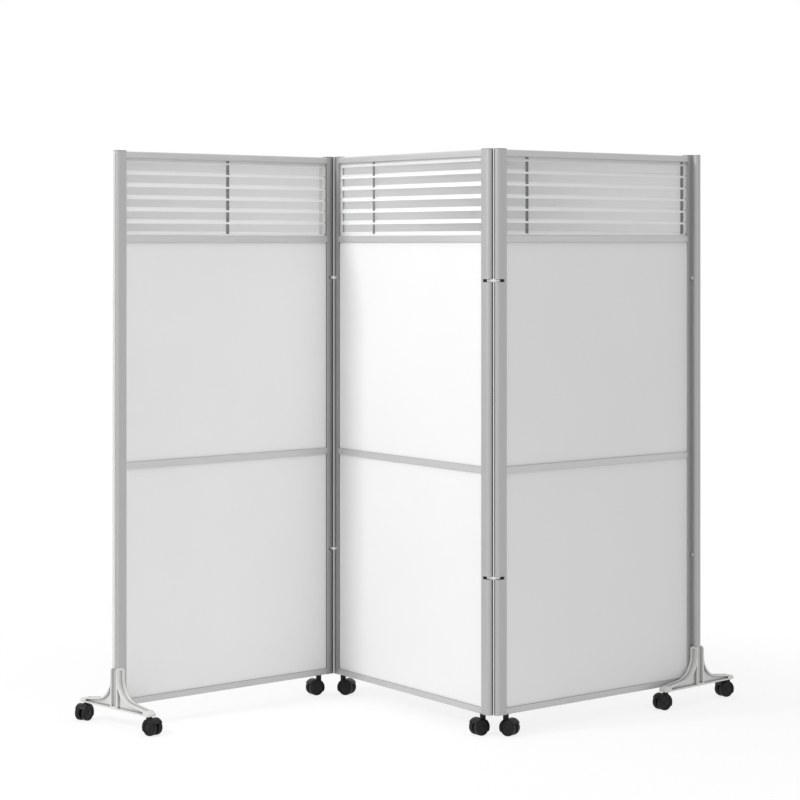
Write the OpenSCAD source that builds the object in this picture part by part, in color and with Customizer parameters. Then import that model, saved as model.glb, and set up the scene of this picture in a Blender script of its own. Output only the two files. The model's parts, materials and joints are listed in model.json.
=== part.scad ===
// Rolling partition screen: three framed panels, linked by straps, on castors and end feet.
// The origin is on the floor under the middle of the whole screen, +Z is up.
// The middle panel runs along X and its front faces -Y.

/* [Screen] */
// Height of a panel from the underside of its bottom rail to the top of its post caps
panel_h = 1735; // [1500:5:2000]
// Width of a panel over its two round-nosed posts
panel_w = 900; // [700:5:1200]
// Thickness of the frame, and the diameter of each post's round nose
frame_t = 25; // [24:0.5:32]
// Angle between the middle panel and the left panel
fold_left = 81; // [75:1:170]
// Angle between the middle panel and the right panel
fold_right = 82; // [75:1:170]
// Turn of the end post's straps towards the front of the right panel
end_turn = 86; // [0:1:87]

/* [Posts] */
// Width of a panel post from the tip of its nose to the edge of the panel's infill
post_w = 37.5; // [36:0.5:50]
// Wall of the posts and the rails
wall = 1.8; // [1.4:0.1:2.2]
// Outer diameter of the tube inside a post that holds the hinge pins
port_d = 11; // [10:0.5:12]
// Thickness of the plastic cap on top of a post
cap_t = 3; // [2:0.5:5]
// Width of the slim end post, across its round edges
end_post_w = 20; // [19.6:0.1:21]

/* [Rails and infill] */
// Height of the top rail and of the bottom rail
rail_h = 20; // [18:0.5:30]
// Height of the two cross rails
cross_h = 20; // [18:0.5:30]
// Height of the middle cross rail's centre above the underside of the panel
mid_at = 749; // [500:5:950]
// Height of the window's lower cross rail above the underside of the panel, at its centre
window_at = 1458; // [1300:1:1480]
// Depth of the groove that holds the boards and the window
groove_d = 8; // [6:0.5:9]
// Thickness of the boards and of the window unit
infill_t = 16; // [15:0.5:18]
// Radius of the rails' outer edges
edge_r = 4; // [1:0.5:5]

/* [Window] */
// Thickness of each pane
pane_t = 2.5; // [2:0.1:3]
// Number of louvre slats in a window
slat_count = 7; // [5:1:9]
// Width of a slat across its curve
slat_w = 16; // [12:0.5:18]
// Thickness of a slat
slat_t = 0.7; // [0.5:0.1:1]
// Tilt of the slats from level
slat_tilt = 60; // [55:1:75]
// Radius of a slat's curve
slat_curve = 30; // [20:1:60]
// Width of the side carrier that shows beside the slats
carrier_w = 6; // [3:0.5:10]
// Width of the dark ladder tapes
tape_w = 12; // [3:0.5:14]
// Place of the left window's tape, as a share of the glass from its left edge
tape_left = 0.5; // [0.1:0.01:0.9]
// Place of the middle window's tape
tape_middle = 0.24; // [0.1:0.01:0.9]
// Place of the right window's tape
tape_right = 0.12; // [0.1:0.01:0.9]
// Distance of the second tape in the end windows from the side carrier
tape_end = 10; // [9:0.5:20]

/* [Links] */
// Gap between the noses of two linked posts
fold_gap = 2; // [2:0.1:6]
// Gap between the right panel's nose and the nose-wide circle round the end post's pins
end_gap = 3.5; // [3:0.1:6]
// Thickness of a link strap
strap_t = 8; // [5:0.5:12]
// Radius of a link strap's round ends
strap_r = 7; // [6:0.1:8]
// Width of a link strap at its bowed middle
strap_belly = 18; // [17:0.5:19]
// Diameter of the hinge pins
pin_d = 6; // [5:0.1:7]
// Length of pin that is held above and below a slot
pin_hold = 24; // [15:1:40]
// Height of the lower link above the underside of the panel
link_low = 420; // [200:5:600]
// Height of the upper link above the underside of the panel
link_high = 1330; // [1000:5:1400]

/* [Feet] */
// Height of a foot's cheeks above the underside of the panels
foot_rise = 120; // [110:1:160]
// Width of a foot across its arms
foot_w = 30; // [26:0.5:31]
// Thickness of a foot's cheeks beside the post
cheek_t = 5; // [4:0.5:8]
// Distance from the post to the castor stem in a foot's arm
foot_reach = 165; // [150:1:220]
// Length of an arm past its castor stem
foot_tip = 15; // [14:1:30]
// Thickness of an arm over its castor
arm_t = 15; // [14:0.5:20]
// Slope of an arm's top
arm_slope = 7; // [4:0.5:9]
// Radius of the sweep from cheek to arm
sweep_r = 75; // [60:1:80]
// Thickness of a foot under the post
foot_base = 8; // [6:0.5:10]
// Depth of the pockets in the sides of the arms
pocket_d = 8; // [3:0.5:10]
// Width of the groove along the top of an arm and up its cheek
flute_w = 9; // [6:0.5:12]
// Depth of that groove
flute_d = 2.5; // [1:0.5:3]

/* [Castors] */
// Diameter of the castor wheels
wheel_d = 50; // [40:1:60]
// Width of each of a castor's two wheels
wheel_w = 17; // [14:0.5:20]
// Distance of the axle behind the stem
trail = 15; // [12:0.5:20]
// Height of the panels' underside above the tops of the wheels
castor_rise = 15; // [14:0.5:25]
// Diameter of the castor stem
stem_d = 8; // [6:0.5:10]
// Diameter of the neck under the panel
neck_d = 18; // [16:0.5:22]
// Distance of a castor stem from the tip of its panel's post
castor_in = 46; // [46:0.5:80]
// The same distance in the left panel
castor_in_left = 62.5; // [46:0.5:90]
// The same distance at the left end of the middle panel
castor_in_back = 46; // [46:0.5:80]

/* [End strip] */
// Reach of the closing strip past the left post's nose
strip_reach = 12; // [9:0.5:16]
// Thickness of the closing strip
strip_t = 9; // [8:0.5:18]
// Distance of the strip's top below the panel's top
strip_drop = 8; // [3:0.5:20]

/* [Hidden] */
$fn = 48;

// Colours
silver = "#b4b6b8";
board_white = "#e8e8e8";
slat_white = "#f4f4f2";
tape_grey = "#4a4c50";
cap_grey = "#8e9093";
foot_silver = "#dcdcda";
castor_black = "#1d1e20";
pane_tint = [0.8, 0.84, 0.86, 0.4];

// Clearances
run = 0.05;
slide = 0.5;
seat = 0.2;
cut = 1;

// Heights from the floor
under = wheel_d + castor_rise;
top_z = under + panel_h - cap_t;
foot_z = under - foot_base;
window_lo = under + window_at + cross_h/2;
window_hi = top_z - rail_h;

// Frame
nose_r = frame_t/2;
groove_w = infill_t + 2*seat;
hold = groove_d - 1;
rail_len = panel_w - 2*post_w;
bore_r = pin_d/2 + run;
slot_h = strap_t + 2*slide;
body_x = nose_r + 1.5;
groove_x = post_w - groove_d;

// Castors and their stems
web_t = 6;
wheel_gap = 1;
stem_in = rail_h - groove_d - 1 - slide;
stem_block = stem_d/2 + 4;

// Folds
pitch = frame_t + fold_gap;
end_pitch = frame_t + end_gap;
span = panel_w - frame_t;
half_l = (180 - fold_left)/2;
half_r = (180 - fold_right)/2;
turn_l = 2*half_l;
turn_r = 2*half_r;
turn_end = turn_r - end_turn;

// Plan places before the origin is moved to the middle of the outline
function along(a, d) = [d*cos(a), d*sin(a)];
mid_l = [-span/2, 0];
mid_r = [span/2, 0];
left_pin = mid_l - along(half_l, pitch);
left_end = left_pin - along(turn_l, span);
right_pin = mid_r + along(half_r, pitch);
right_end = right_pin + along(turn_r, span);
end_at = right_end + along(turn_end, end_pitch);

// Castors: stem place and heading of the trail.
// Free castors point where they happened to stop.
castors = [
    [left_end + along(turn_l + 90, foot_reach), 300],
    [left_end - along(turn_l + 90, foot_reach), 17],
    [left_pin - along(turn_l, castor_in_left - nose_r), 267],
    [mid_l + [castor_in_back - nose_r, 0], 30],
    [mid_r - [castor_in - nose_r, 0], 271],
    [right_pin + along(turn_r, castor_in - nose_r), 22],
    [end_at - along(turn_end + 90, foot_reach), 271],
    [end_at + along(turn_end + 90, foot_reach), 267]];

// Reach of a castor from its stem in a plan direction
wheels_half = web_t/2 + wheel_gap/2 + wheel_w;
function castor_reach(i, a) = trail*cos(castors[i][1] - a) + wheel_d/2*abs(cos(castors[i][1] - a))
    + wheels_half*abs(sin(castors[i][1] - a));

// The outline's middle: left foot's outer castor against the right fold's, and against the right foot's tip
tip_s = foot_reach + foot_tip;
x_low = castors[0][0].x - castor_reach(0, 180);
x_high = castors[5][0].x + castor_reach(5, 0);
y_low = castors[0][0].y - castor_reach(0, 270);
y_high = end_at.y + tip_s*cos(turn_end) + foot_w/2*sin(turn_end);
origin = [(x_low + x_high)/2, (y_low + y_high)/2];

module in_middle() { translate(concat(mid_l - [nose_r, 0] - origin, 0)) children(); }
module in_left() {
    translate(concat(left_end - origin, 0)) rotate([0, 0, turn_l]) translate([-nose_r, 0, 0]) children();
}
module in_right() {
    translate(concat(right_pin - origin, 0)) rotate([0, 0, turn_r]) translate([-nose_r, 0, 0]) children();
}
module at_end() { translate(concat(end_at - origin, 0)) rotate([0, 0, turn_end]) children(); }
module at_left_end() { translate(concat(left_end - origin, 0)) rotate([0, 0, turn_l]) children(); }
// Turns a shape drawn from a panel's left end so that it starts at the right end
module from_right() { translate([panel_w, 0, 0]) mirror([1, 0, 0]) children(); }
// Runs a section, drawn as depth against height, along a panel between its posts
module along_rail() { translate([post_w, 0, 0]) rotate([90, 0, 90]) linear_extrude(rail_len) children(); }

// Box from a low corner to a high corner
module block(low, high) { translate(low) cube(high - low); }

// Section of a post, with the tip of its nose at x = 0
module post_section() {
    difference() {
        union() {
            translate([nose_r, 0]) circle(nose_r);
            translate([nose_r, -nose_r]) square([post_w - nose_r, frame_t]);
        }
        difference() {
            translate([nose_r, 0]) circle(nose_r - wall);
            translate([body_x, -nose_r]) square([post_w, frame_t]);
            translate([nose_r, 0]) circle(port_d/2);
            translate([nose_r - wall/2, -nose_r]) square([wall, frame_t]);
        }
        difference() {
            translate([body_x, wall - nose_r]) square([groove_x - wall - body_x, frame_t - 2*wall]);
            translate([nose_r, 0]) circle(port_d/2);
        }
        translate([nose_r, 0]) circle(bore_r);
        translate([groove_x, -groove_w/2]) square([groove_d + cut, groove_w]);
    }
}

// Panel post; a linked post has a slot for each strap
module post(linked = true) {
    color(silver) difference() {
        translate([0, 0, under]) linear_extrude(top_z - under) post_section();
        if (linked) for (z = [link_low, link_high])
            translate([-cut, -frame_t, under + z - slot_h/2]) cube([groove_x - wall + cut, 2*frame_t, slot_h]);
    }
}

// Cap over a post, with a spigot inside the post's body
module post_cap() {
    color(cap_grey) translate([0, 0, top_z]) {
        linear_extrude(cap_t) {
            translate([nose_r, 0]) circle(nose_r);
            translate([nose_r, -nose_r]) square([post_w - nose_r, frame_t]);
        }
        translate([nose_r + port_d/2 + seat, wall + seat - nose_r, -cap_t*3])
            cube([groove_x - wall - nose_r - port_d/2 - 2*seat, frame_t - 2*(wall + seat), cap_t*3]);
    }
}

// Hinge pins in a post, through its two slots
module hinge_pins() {
    color("silver") for (z = [link_low, link_high])
        translate([nose_r, 0, under + z - slot_h/2 - pin_hold]) cylinder(d = pin_d, h = slot_h + 2*pin_hold);
}

// Section of the top rail, groove downwards; height runs up from 0
module edge_rail_section() {
    difference() {
        union() {
            translate([-nose_r, 0]) square([frame_t, rail_h - edge_r]);
            translate([edge_r - nose_r, 0]) square([frame_t - 2*edge_r, rail_h]);
            for (s = [-1, 1]) translate([s*(nose_r - edge_r), rail_h - edge_r]) circle(edge_r);
        }
        translate([-groove_w/2, -cut]) square([groove_w, groove_d + cut]);
        translate([wall - nose_r, groove_d + wall]) square([frame_t - 2*wall, rail_h - edge_r - groove_d - wall]);
    }
}

module top_rail() { color(silver) translate([0, 0, window_hi]) along_rail() edge_rail_section(); }

// Bottom rail with a solid block over each castor, bored for its stem
module bottom_rail(stems) {
    color(silver) difference() {
        union() {
            translate([0, 0, under + rail_h]) mirror([0, 0, 1]) along_rail() edge_rail_section();
            for (x = stems) block([x - stem_block, wall/2 - nose_r, under + wall/2],
                                  [x + stem_block, nose_r - wall/2, under + rail_h - groove_d - wall/2]);
        }
        for (x = stems) translate([x, 0, under - cut]) cylinder(d = stem_d + 2*run, h = stem_in + slide + cut);
    }
}

// The middle cross rail and the window's cross rail, with a groove above and below
module cross_rails() {
    color(silver) for (z = [mid_at, window_at]) translate([0, 0, under + z]) along_rail() difference() {
        square([frame_t, cross_h], center = true);
        for (s = [0, 1]) mirror([0, s]) translate([-groove_w/2, cross_h/2 - groove_d])
            square([groove_w, groove_d + cut]);
    }
}

// Board or pane between two clear heights, held in the grooves all round
module infill(low, high, thick) {
    block([post_w - hold, -thick/2, low - hold], [panel_w - post_w + hold, thick/2, high + hold]);
}
module upper_board() {
    color(board_white) infill(under + mid_at + cross_h/2, under + window_at - cross_h/2, infill_t);
}
module lower_board() { color(board_white) infill(under + rail_h, under + mid_at - cross_h/2, infill_t); }

// Window: two panes, with the louvre between them
pane_y = (infill_t - pane_t)/2;
module window_panes() {
    color(pane_tint) for (s = [-1, 1]) translate([0, s*pane_y, 0]) infill(window_lo, window_hi, pane_t);
}

// Louvre: a frame between the panes that carries the slats by their end pins
cavity = infill_t - 2*pane_t;
slat_rise = slat_w*sin(slat_tilt);
slat_step = (window_hi - window_lo - slat_rise - 2*slide)/(slat_count - 1);
slat_x0 = post_w + 1;
slat_x1 = panel_w - post_w - carrier_w - 1;
slat_pin = 2;
slat_mid = slat_curve*cos(asin(slat_w/2/slat_curve));

module slat_section() {
    rotate(slat_tilt) translate([0, -(slat_curve + slat_mid)/2]) intersection() {
        difference() {
            circle(slat_curve + slat_t/2, $fn = 96);
            circle(slat_curve - slat_t/2, $fn = 96);
        }
        translate([-slat_w/2, 0]) square([slat_w, 2*slat_curve]);
    }
}

module louvre(tapes) {
    color(slat_white) {
        difference() {
            block([post_w - hold, slide - cavity/2, window_lo - hold],
                  [panel_w - post_w + hold, cavity/2 - slide, window_hi + hold]);
            block([post_w, -cavity, window_lo], [panel_w - post_w - carrier_w, cavity, window_hi]);
            for (i = [0:slat_count - 1]) slat_pins(i, slat_pin/2 + run, seat);
        }
        for (i = [0:slat_count - 1]) difference() {
            union() {
                translate([slat_x0, 0, slat_z(i)]) rotate([90, 0, 90])
                    linear_extrude(slat_x1 - slat_x0) slat_section();
                slat_pins(i, slat_pin/2);
            }
            for (x = tapes) block([x - tape_w/2 - slide, -tape_t - slide, window_lo],
                                  [x + tape_w/2 + slide, tape_t + slide, window_hi]);
        }
    }
}
function slat_z(i) = window_lo + slide + slat_rise/2 + i*slat_step;
module slat_pins(i, r, play = 0) {
    pin_in = 4;
    for (x = [slat_x0 - pin_in - play, slat_x1 - 1])
        translate([x, 0, slat_z(i)]) rotate([0, 90, 0]) cylinder(r = r, h = pin_in + 1 + play);
}

// Dark ladder tapes that run through the slats from the top of the frame to its bottom
tape_t = 1;
glass_w = panel_w - 2*post_w;
function tape_x(share) = post_w + share*glass_w;
tape_end_x = panel_w - post_w - carrier_w - tape_end;
tapes_l = [tape_x(tape_left), tape_end_x];
tapes_m = [tape_x(tape_middle)];
tapes_r = [tape_x(tape_right), tape_end_x];
module tapes(places) {
    color(tape_grey) for (x = places)
        block([x - tape_w/2, -tape_t/2, window_lo], [x + tape_w/2, tape_t/2, window_hi]);
}

// Link straps, from a pin at the origin to a pin at distance p along x, bowed out between them
strap_bow = strap_belly/2 - strap_r;
module straps(p) {
    bow_r = (p*p/4 + strap_bow*strap_bow)/(2*strap_bow);
    color("gainsboro") for (z = [link_low, link_high]) translate([0, 0, under + z - strap_t/2])
        linear_extrude(strap_t) difference() {
            union() {
                for (x = [0, p]) translate([x, 0]) circle(strap_r);
                intersection() {
                    translate([p/2, bow_r - strap_belly/2]) circle(bow_r);
                    translate([p/2, strap_belly/2 - bow_r]) circle(bow_r);
                    translate([0, -strap_belly/2]) square([p, strap_belly]);
                }
            }
            for (x = [0, p]) translate([x, 0]) circle(bore_r);
        }
}

// Slim end post, centred on its strap pins; its slots hold the straps fast
module end_post_outline(inset = 0) {
    intersection() {
        square([end_post_w - 2*inset, frame_t - 2*inset], center = true);
        union() {
            for (s = [-1, 1]) translate([0, s*(frame_t - end_post_w)/2]) circle(end_post_w/2 - inset);
            square([end_post_w - 2*inset, frame_t - end_post_w], center = true);
        }
    }
}
module end_post() {
    at_end() color(silver) {
        difference() {
            translate([0, 0, under]) linear_extrude(top_z - under) difference() {
                end_post_outline();
                difference() {
                    end_post_outline(wall);
                    circle(port_d/2);
                    square([end_post_w, wall], center = true);
                }
                circle(bore_r);
            }
            for (z = [link_low, link_high]) translate([-end_post_w, -strap_belly/2 - seat, under + z - slot_h/2])
                cube([end_post_w + strap_r + seat, strap_belly + 2*seat, slot_h]);
        }
        translate([0, 0, top_z]) linear_extrude(cap_t) end_post_outline();
        for (z = [link_low, link_high]) translate([0, 0, under + z - slot_h/2 - pin_hold])
            cylinder(d = pin_d, h = slot_h + 2*pin_hold);
    }
}

// Strip that closes the free nose of the left panel's outer post
module end_strip() {
    color(foot_silver) translate([0, 0, under + foot_rise + 1])
        linear_extrude(top_z + cap_t - strip_drop - under - foot_rise - 1) difference() {
            union() {
                translate([strip_t/2 - strip_reach, 0]) circle(strip_t/2);
                translate([strip_t/2 - strip_reach, -strip_t/2]) square([strip_reach, strip_t]);
            }
            translate([nose_r, 0]) circle(nose_r);
        }
}

// One half of a foot's side outline: distance from the post against height
stem_half = nose_r + cheek_t;
arm_z = foot_z + arm_t;
function arm_top(s) = arm_z + (foot_reach - s)*tan(arm_slope);
sweep_s = stem_half + sweep_r;
sweep_z = sweep_r/cos(arm_slope) + arm_top(sweep_s);
tip_r = (arm_t - foot_tip*tan(arm_slope))/(1 - tan(arm_slope));
touch_s = sweep_s - sweep_r*sin(arm_slope);
lean = sin(arm_slope);

module foot_half(inset = 0) {
    drop = inset/cos(arm_slope);
    touch = touch_s - inset*lean;
    difference() {
        polygon([[0, foot_z], [tip_s - tip_r, foot_z], [tip_s - tip_r, arm_top(tip_s - tip_r) - drop],
                 [touch, arm_top(touch) - drop], [stem_half - inset, sweep_z],
                 [stem_half - inset, under + foot_rise], [0, under + foot_rise]]);
        translate([sweep_s, sweep_z]) circle(sweep_r + inset, $fn = 120);
    }
    intersection() {
        translate([tip_s - tip_r, foot_z]) circle(tip_r - inset);
        translate([tip_s - tip_r - cut, foot_z]) square(tip_r + cut);
    }
}

// Pocket in the side of an arm, a rib's width inside its outline
rib = 5;
module arm_pocket() {
    s0 = stem_half + 1;
    s1 = foot_reach - stem_d/2 - 2*rib;
    drop = rib/cos(arm_slope);
    touch = touch_s - rib*lean;
    difference() {
        polygon([[s0, foot_z + rib], [s1, foot_z + rib], [s1, arm_top(s1) - drop],
                 [touch, arm_top(touch) - drop], [s0, sweep_z]]);
        translate([sweep_s, sweep_z]) circle(sweep_r + rib, $fn = 120);
    }
}

bolt_head = 4;
// Cast foot: cheeks on both faces of the post, arms to both sides, and a bolt up into the post
module foot() {
    flute_top = under + foot_rise - flute_w - 3;
    color(foot_silver) {
        difference() {
            for (s = [0, 1]) mirror([0, s, 0]) difference() {
                rotate([90, 0, 90]) linear_extrude(foot_w, center = true) foot_half();
                for (side = [0, 1]) mirror([side, 0, 0]) translate([foot_w/2 - pocket_d, 0, 0])
                    rotate([90, 0, 90]) linear_extrude(pocket_d + cut) arm_pocket();
                intersection() {
                    rotate([90, 0, 90]) linear_extrude(flute_w, center = true) difference() {
                        foot_half();
                        foot_half(flute_d);
                    }
                    block([-foot_w, 0, foot_z], [foot_w, foot_reach - stem_d, flute_top]);
                }
                translate([0, stem_half - flute_d, flute_top]) rotate([-90, 0, 0])
                    cylinder(d = flute_w, h = flute_d + cut);
                translate([0, foot_reach, foot_z - cut]) cylinder(d = stem_d + 2*run, h = stem_in + slide + cut);
            }
            block([-foot_w, -nose_r, under], [foot_w, nose_r, under + foot_rise + cut]);
            translate([0, 0, foot_z - cut]) cylinder(r = bore_r, h = foot_base + 2*cut);
        }
        translate([0, 0, foot_z - bolt_head]) {
            cylinder(r = pin_d, h = bolt_head);
            cylinder(d = pin_d, h = bolt_head + foot_base + pin_hold);
        }
    }
}

// Twin-wheel castor: its stem stands at the origin and the axle trails along x
wheel_r = wheel_d/2;
hood_t = 2;
hood_r = wheel_r + wheel_gap + hood_t;
hood_w = web_t + 2*wheel_w - 2;
axle_d = 5;
stem_z = wheel_d + wheel_gap;
hood_lean = 30;
hub_r = axle_d + 3;
axle_in = 4;
function neck_top(in_foot) = in_foot ? foot_z : under;

module castor_housing(in_foot) {
    neck = neck_top(in_foot) - seat;
    color(castor_black) {
        difference() {
            union() {
                translate([trail, 0, wheel_r]) rotate([90, 0, 0]) {
                    linear_extrude(hood_w, center = true) intersection() {
                        circle(hood_r);
                        rotate(hood_lean) translate([-hood_r, 0]) square(2*hood_r);
                    }
                    cylinder(r = hub_r, h = web_t, center = true);
                }
                translate([0, 0, wheel_r]) cylinder(d = neck_d, h = neck - wheel_r);
            }
            for (s = [0, 1]) mirror([0, s, 0]) translate([trail, -web_t/2, wheel_r]) rotate([90, 0, 0])
                cylinder(r = wheel_r + wheel_gap, h = 2*wheel_w);
            translate([trail, 0, wheel_r]) rotate([90, 0, 0]) cylinder(d = axle_d, h = 2*web_t, center = true);
            translate([0, 0, stem_z]) cylinder(d = stem_d, h = neck);
        }
        translate([0, 0, stem_z]) cylinder(d = stem_d, h = neck_top(in_foot) + stem_in - stem_z);
        translate([trail, 0, wheel_r]) rotate([90, 0, 0])
            cylinder(d = axle_d, h = web_t + 2*(wheel_w - axle_in), center = true);
    }
}

// Half section of a wheel: radius against distance from its inner face
tread_r = 4;
dish_in = 7;
dish_out = 17.5;
dish_d = 2;
module wheel_section() {
    difference() {
        union() {
            square([wheel_r - tread_r, wheel_w]);
            translate([0, tread_r]) square([wheel_r, wheel_w - 2*tread_r]);
            for (y = [tread_r, wheel_w - tread_r]) translate([wheel_r - tread_r, y]) circle(tread_r);
        }
        square([axle_d/2 + run, wheel_w - axle_in + 1]);
        translate([dish_in, wheel_w - dish_d]) square([dish_out - dish_in, dish_d + cut]);
    }
}
module castor_wheels() {
    color(castor_black) for (s = [0, 1]) mirror([0, s, 0])
        translate([trail, -web_t/2 - wheel_gap/2, wheel_r]) rotate([90, 0, 0]) rotate_extrude() wheel_section();
}
module at_castor(i) {
    translate(concat(castors[i][0] - origin, 0)) rotate([0, 0, castors[i][1]]) children();
}

// Named pieces
module left_outer_post() { in_left() post(linked = false); }
module left_inner_post() { in_left() from_right() post(); }
module left_top_rail() { in_left() top_rail(); }
module left_bottom_rail() { in_left() bottom_rail([panel_w - castor_in_left]); }
module left_cross_rails() { in_left() cross_rails(); }
module left_upper_board() { in_left() upper_board(); }
module left_lower_board() { in_left() lower_board(); }
module left_window_panes() { in_left() window_panes(); }
module left_louvre() { in_left() louvre(tapes_l); }
module left_tapes() { in_left() tapes(tapes_l); }
module left_post_caps() { in_left() { post_cap(); from_right() post_cap(); } }
module left_hinge_pins() { in_left() from_right() hinge_pins(); }
module left_end_strip() { in_left() end_strip(); }
module middle_left_post() { in_middle() post(); }
module middle_right_post() { in_middle() from_right() post(); }
module middle_top_rail() { in_middle() top_rail(); }
module middle_bottom_rail() { in_middle() bottom_rail([castor_in_back, panel_w - castor_in]); }
module middle_cross_rails() { in_middle() cross_rails(); }
module middle_upper_board() { in_middle() upper_board(); }
module middle_lower_board() { in_middle() lower_board(); }
module middle_window_panes() { in_middle() window_panes(); }
module middle_louvre() { in_middle() louvre(tapes_m); }
module middle_tapes() { in_middle() tapes(tapes_m); }
module middle_post_caps() { in_middle() { post_cap(); from_right() post_cap(); } }
module middle_hinge_pins() { in_middle() { hinge_pins(); from_right() hinge_pins(); } }
module right_inner_post() { in_right() post(); }
module right_outer_post() { in_right() from_right() post(); }
module right_top_rail() { in_right() top_rail(); }
module right_bottom_rail() { in_right() bottom_rail([castor_in]); }
module right_cross_rails() { in_right() cross_rails(); }
module right_upper_board() { in_right() upper_board(); }
module right_lower_board() { in_right() lower_board(); }
module right_window_panes() { in_right() window_panes(); }
module right_louvre() { in_right() louvre(tapes_r); }
module right_tapes() { in_right() tapes(tapes_r); }
module right_post_caps() { in_right() { post_cap(); from_right() post_cap(); } }
module right_hinge_pins() { in_right() { hinge_pins(); from_right() hinge_pins(); } }
module left_link_straps() {
    translate(concat(mid_l - origin, 0)) rotate([0, 0, 180 + half_l]) straps(pitch);
}
module right_link_straps() { translate(concat(mid_r - origin, 0)) rotate([0, 0, half_r]) straps(pitch); }
module end_link_straps() {
    translate(concat(right_end - origin, 0)) rotate([0, 0, turn_end]) straps(end_pitch);
}
module left_foot() { at_left_end() foot(); }
module right_foot() { at_end() foot(); }
module castor_1_housing() { at_castor(0) castor_housing(true); }
module castor_1_wheels() { at_castor(0) castor_wheels(); }
module castor_2_housing() { at_castor(1) castor_housing(true); }
module castor_2_wheels() { at_castor(1) castor_wheels(); }
module castor_3_housing() { at_castor(2) castor_housing(false); }
module castor_3_wheels() { at_castor(2) castor_wheels(); }
module castor_4_housing() { at_castor(3) castor_housing(false); }
module castor_4_wheels() { at_castor(3) castor_wheels(); }
module castor_5_housing() { at_castor(4) castor_housing(false); }
module castor_5_wheels() { at_castor(4) castor_wheels(); }
module castor_6_housing() { at_castor(5) castor_housing(false); }
module castor_6_wheels() { at_castor(5) castor_wheels(); }
module castor_7_housing() { at_castor(6) castor_housing(true); }
module castor_7_wheels() { at_castor(6) castor_wheels(); }
module castor_8_housing() { at_castor(7) castor_housing(true); }
module castor_8_wheels() { at_castor(7) castor_wheels(); }

left_outer_post();
left_inner_post();
left_top_rail();
left_bottom_rail();
left_cross_rails();
left_upper_board();
left_lower_board();
left_window_panes();
left_louvre();
left_tapes();
left_post_caps();
left_hinge_pins();
left_end_strip();
middle_left_post();
middle_right_post();
middle_top_rail();
middle_bottom_rail();
middle_cross_rails();
middle_upper_board();
middle_lower_board();
middle_window_panes();
middle_louvre();
middle_tapes();
middle_post_caps();
middle_hinge_pins();
right_inner_post();
right_outer_post();
right_top_rail();
right_bottom_rail();
right_cross_rails();
right_upper_board();
right_lower_board();
right_window_panes();
right_louvre();
right_tapes();
right_post_caps();
right_hinge_pins();
left_link_straps();
right_link_straps();
end_link_straps();
end_post();
left_foot();
right_foot();
castor_1_housing();
castor_1_wheels();
castor_2_housing();
castor_2_wheels();
castor_3_housing();
castor_3_wheels();
castor_4_housing();
castor_4_wheels();
castor_5_housing();
castor_5_wheels();
castor_6_housing();
castor_6_wheels();
castor_7_housing();
castor_7_wheels();
castor_8_housing();
castor_8_wheels();
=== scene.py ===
"""Looks of a folding partition screen: three framed panels with louvred windows, on castors and end feet.

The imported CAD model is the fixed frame. Sizes are in metres, in the frame's own axes.
"""

import json
import math

import bmesh
import bpy
from mathutils import Matrix, Vector

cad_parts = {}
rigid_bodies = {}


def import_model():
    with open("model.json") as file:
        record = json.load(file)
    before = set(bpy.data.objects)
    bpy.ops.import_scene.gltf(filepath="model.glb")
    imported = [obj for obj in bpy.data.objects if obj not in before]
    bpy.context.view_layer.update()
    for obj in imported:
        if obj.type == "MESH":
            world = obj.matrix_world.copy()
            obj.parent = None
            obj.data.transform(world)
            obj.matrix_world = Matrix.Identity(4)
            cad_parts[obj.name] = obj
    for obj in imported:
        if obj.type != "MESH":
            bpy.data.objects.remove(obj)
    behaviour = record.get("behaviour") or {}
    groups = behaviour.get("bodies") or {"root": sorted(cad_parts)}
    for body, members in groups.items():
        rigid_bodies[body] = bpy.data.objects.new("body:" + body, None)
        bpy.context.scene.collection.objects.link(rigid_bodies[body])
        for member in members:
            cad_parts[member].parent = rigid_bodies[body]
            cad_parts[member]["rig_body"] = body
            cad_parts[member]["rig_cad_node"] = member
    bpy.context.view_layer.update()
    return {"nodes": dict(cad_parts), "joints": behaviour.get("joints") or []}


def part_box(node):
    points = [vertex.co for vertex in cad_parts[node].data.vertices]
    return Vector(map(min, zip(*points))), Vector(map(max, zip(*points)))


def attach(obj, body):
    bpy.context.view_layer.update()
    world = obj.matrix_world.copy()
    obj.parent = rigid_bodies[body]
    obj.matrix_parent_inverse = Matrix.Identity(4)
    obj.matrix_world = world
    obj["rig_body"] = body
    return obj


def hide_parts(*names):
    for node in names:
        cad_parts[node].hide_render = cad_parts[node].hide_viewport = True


bl_info = {
    "name": "Folding partition screen",
    "version": (1, 0, 0),
    "blender": (4, 5, 0),
    "location": "View3D > Sidebar > Screen",
    "description": "Dresses a folding office screen with panes, beads, castors, feet and finishes",
    "category": "Object",
}

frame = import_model()

MM = 0.001
# Two places nearer than this count as one.
NEAR = 0.1 * MM
# A face whose normal has at least this share along an axis lies square to it.
FACING = 0.99
JOINTS = {joint["name"]: joint for joint in frame["joints"]}
SIDES = ("left", "middle", "right")
CASTORS = range(1, 9)

# The middle panel stands square in the frame, so its boxes give every panel's sizes.
POST_LOW, POST_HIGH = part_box("middle_left_post")
END_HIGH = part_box("middle_right_post")[1]
BOARD_LOW, BOARD_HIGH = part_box("middle_upper_board")
LOWER_LOW, LOWER_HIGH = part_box("middle_lower_board")
TAPE_LOW, TAPE_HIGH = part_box("middle_tapes")
PANE_LOW, PANE_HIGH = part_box("middle_window_panes")
PANEL_W = END_HIGH.x - POST_LOW.x
POST_W = POST_HIGH.x - POST_LOW.x
FRAME_T = POST_HIGH.y - POST_LOW.y
INFILL_T = BOARD_HIGH.y - BOARD_LOW.y
HOLD = POST_W - (BOARD_LOW.x - POST_LOW.x)
UNDER = POST_LOW.z
NOSE_R = FRAME_T / 2
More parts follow.
